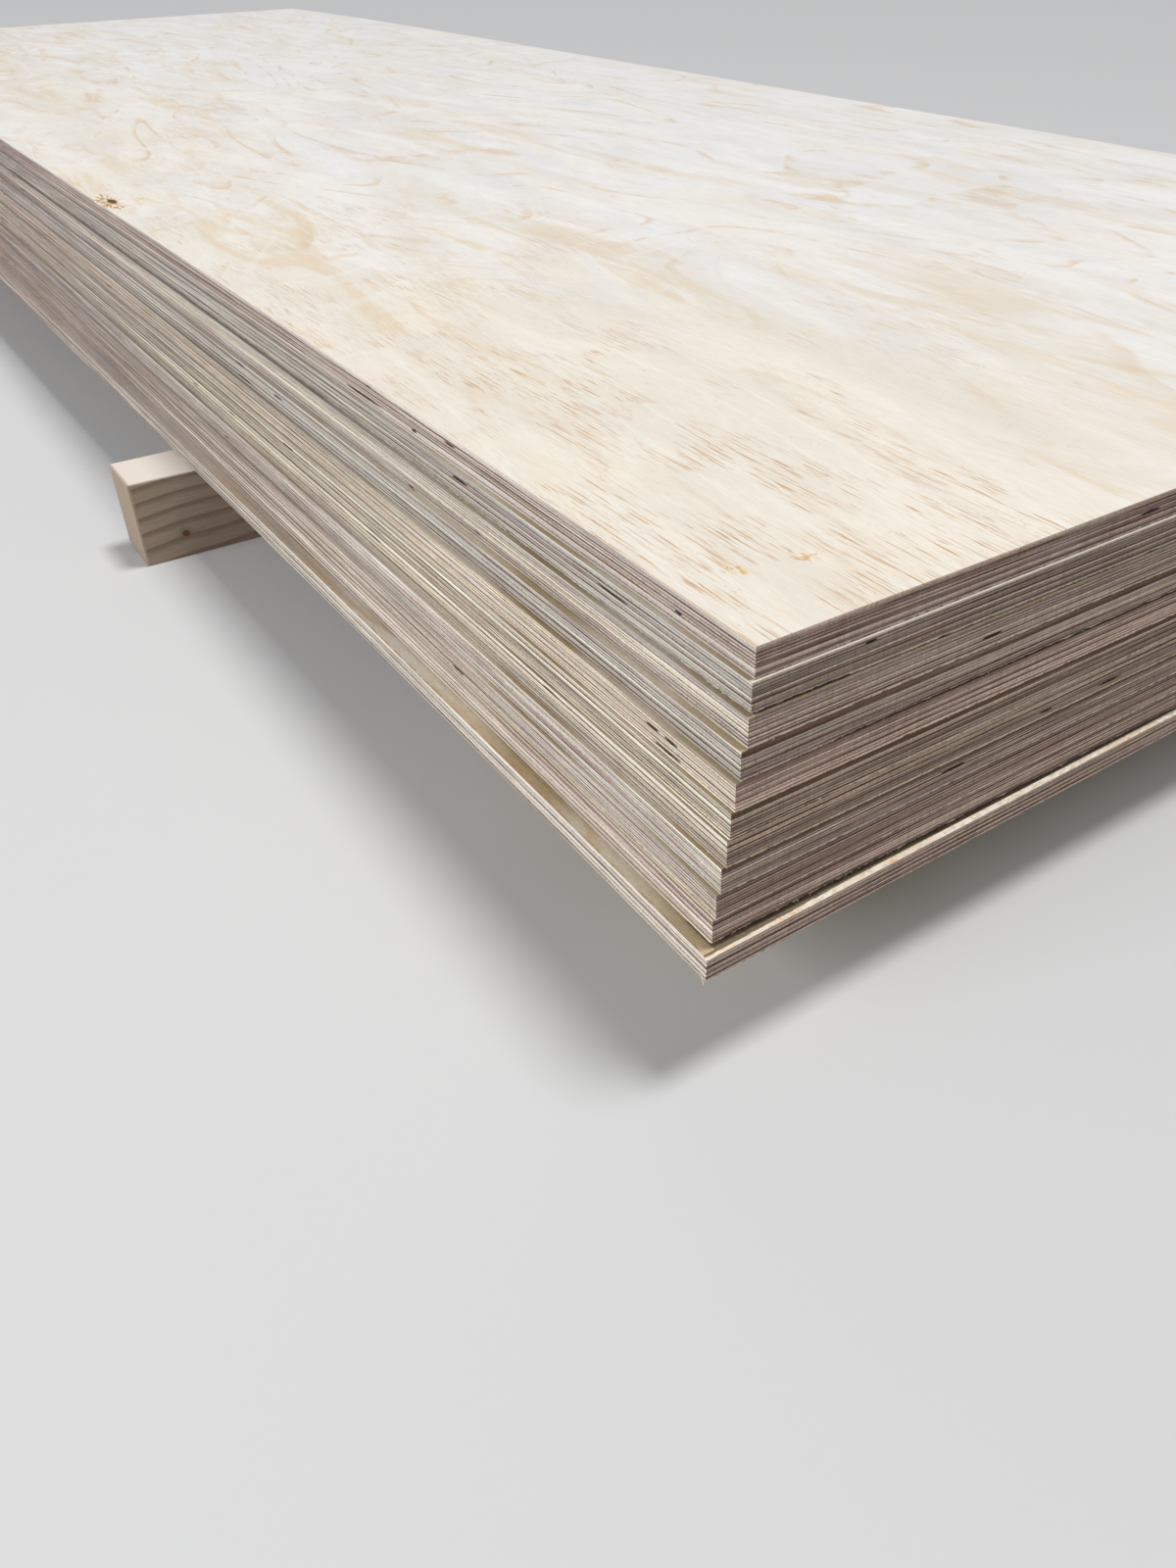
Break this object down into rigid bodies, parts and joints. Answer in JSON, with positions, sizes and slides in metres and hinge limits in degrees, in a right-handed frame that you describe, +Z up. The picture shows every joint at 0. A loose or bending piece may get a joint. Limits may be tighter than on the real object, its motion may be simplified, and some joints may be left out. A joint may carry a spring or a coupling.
{
  "type": "plywood sheet stack",
  "caption": "Pile of full plywood sheets on a base sheet, lying flat across two timber bearers that leave room for lifting forks.",
  "frame": {"origin": "floor level, under the middle of the whole stack's bounding box", "axes": "+Y along the sheets' length, +X across their width, +Z up from the floor"},
  "size_m": [1.4, 3.6124, 0.3007],
  "materials": {
    "pile_plywood": "sanded pine face veneer, sawn laminated edges",
    "base_plywood": "unsanded, greyed plywood, sawn laminated edges",
    "bearer_timber": "rough sawn softwood"
  },
  "bodies": {
    "root": {"bearer_near": "bearer_timber", "bearer_far": "bearer_timber", "base_sheet": "base_plywood", "sheet_01": "pile_plywood", "sheet_02": "pile_plywood", "sheet_03": "pile_plywood", "sheet_04": "pile_plywood", "sheet_05": "pile_plywood", "sheet_06": "pile_plywood", "sheet_07": "pile_plywood", "sheet_08": "pile_plywood", "sheet_09": "pile_plywood", "sheet_10": "pile_plywood"}
  },
  "joints": []
}
